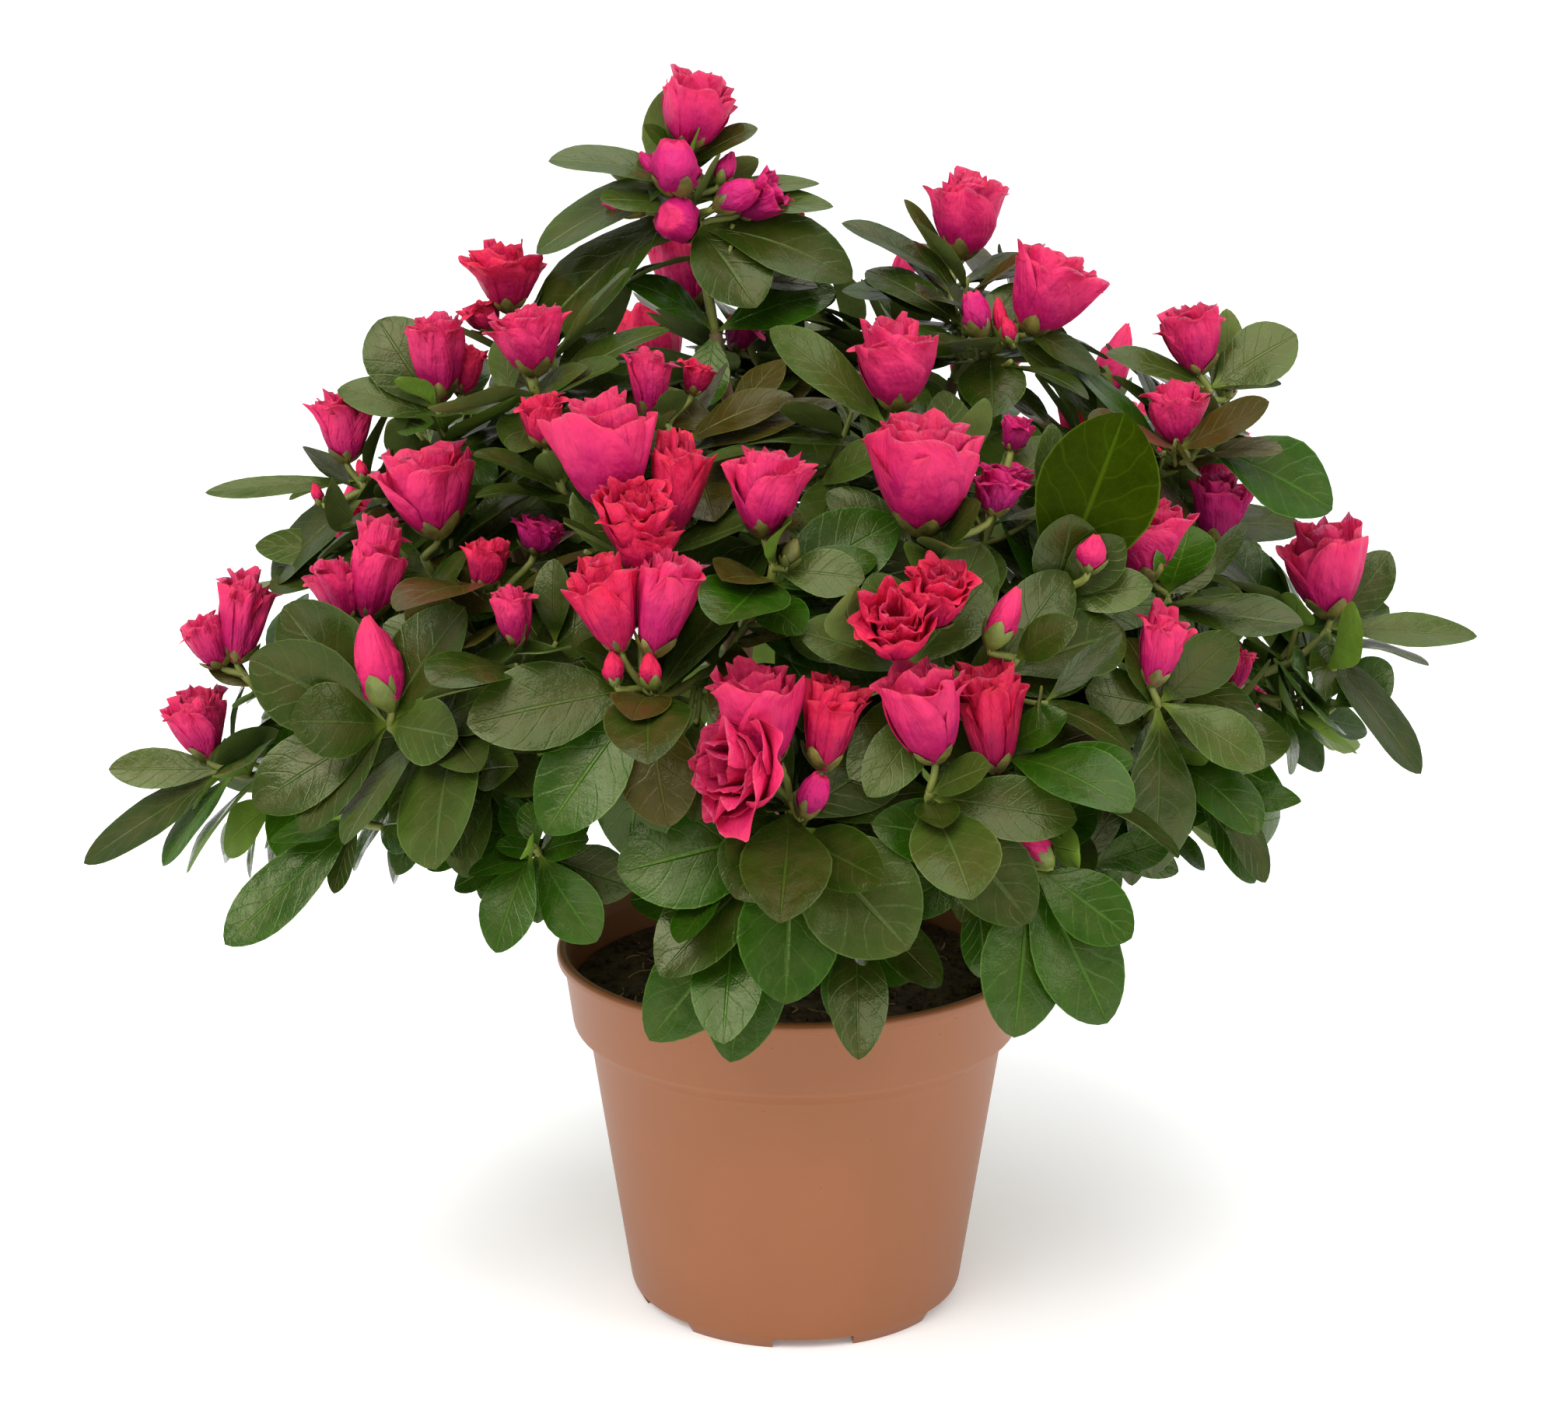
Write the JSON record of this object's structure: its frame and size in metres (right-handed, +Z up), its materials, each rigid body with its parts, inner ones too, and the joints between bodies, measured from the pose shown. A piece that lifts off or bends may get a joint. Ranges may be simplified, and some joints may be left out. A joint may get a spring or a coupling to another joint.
{
  "type": "azalea shrub",
  "caption": "Azalea shrub in full flower, with ruffled pink blossoms over glossy leaves, in a round tapering plastic nursery pot.",
  "frame": {"origin": "centre of the pot's flat underside", "axes": "+Z up, -Y towards the viewer of the picture, +X to that viewer's right"},
  "size_m": [0.3305, 0.2925, 0.3068],
  "materials": {
    "pot": "satin",
    "potting_soil": "matte",
    "bark": "matte",
    "foliage": "satin"
  },
  "bodies": {
    "root": {"pot": "pot", "potting_soil": "potting_soil", "trunk": "bark", "bough_back_low_1": "bark", "bough_back_low_2": "bark", "bough_back_low_3": "bark", "bough_back_middle_1": "bark", "bough_back_middle_2": "bark", "bough_back_middle_3": "bark", "bough_back_middle_4": "bark", "bough_back_top": "bark", "bough_centre": "bark", "bough_centre_left": "bark", "bough_centre_low": "bark", "bough_centre_right": "bark", "bough_far_left": "bark", "bough_far_right": "bark", "bough_front": "bark", "bough_front_right": "bark", "bough_leader": "bark", "bough_left": "bark", "bough_left_front": "bark", "bough_left_shoulder": "bark", "bough_low_left": "bark", "bough_low_right": "bark", "bough_right": "bark", "bough_right_front": "bark", "bough_right_shoulder": "bark", "bough_top_front": "bark", "bough_upper_left": "bark", "bough_upper_right": "bark", "foliage_back_low_1": "foliage", "foliage_back_low_2": "foliage", "foliage_back_low_3": "foliage", "foliage_back_middle_1": "foliage", "foliage_back_middle_2": "foliage", "foliage_back_middle_3": "foliage", "foliage_back_middle_4": "foliage", "foliage_back_top": "foliage", "foliage_centre": "foliage", "foliage_centre_left": "foliage", "foliage_centre_low": "foliage", "foliage_centre_right": "foliage", "foliage_far_left": "foliage", "foliage_far_right": "foliage", "foliage_front": "foliage", "foliage_front_right": "foliage", "foliage_leader": "foliage", "foliage_left": "foliage", "foliage_left_front": "foliage", "foliage_left_shoulder": "foliage", "foliage_low_left": "foliage", "foliage_low_right": "foliage", "foliage_right": "foliage", "foliage_right_front": "foliage", "foliage_right_shoulder": "foliage", "foliage_top_front": "foliage", "foliage_upper_left": "foliage", "foliage_upper_right": "foliage"}
  },
  "joints": []
}
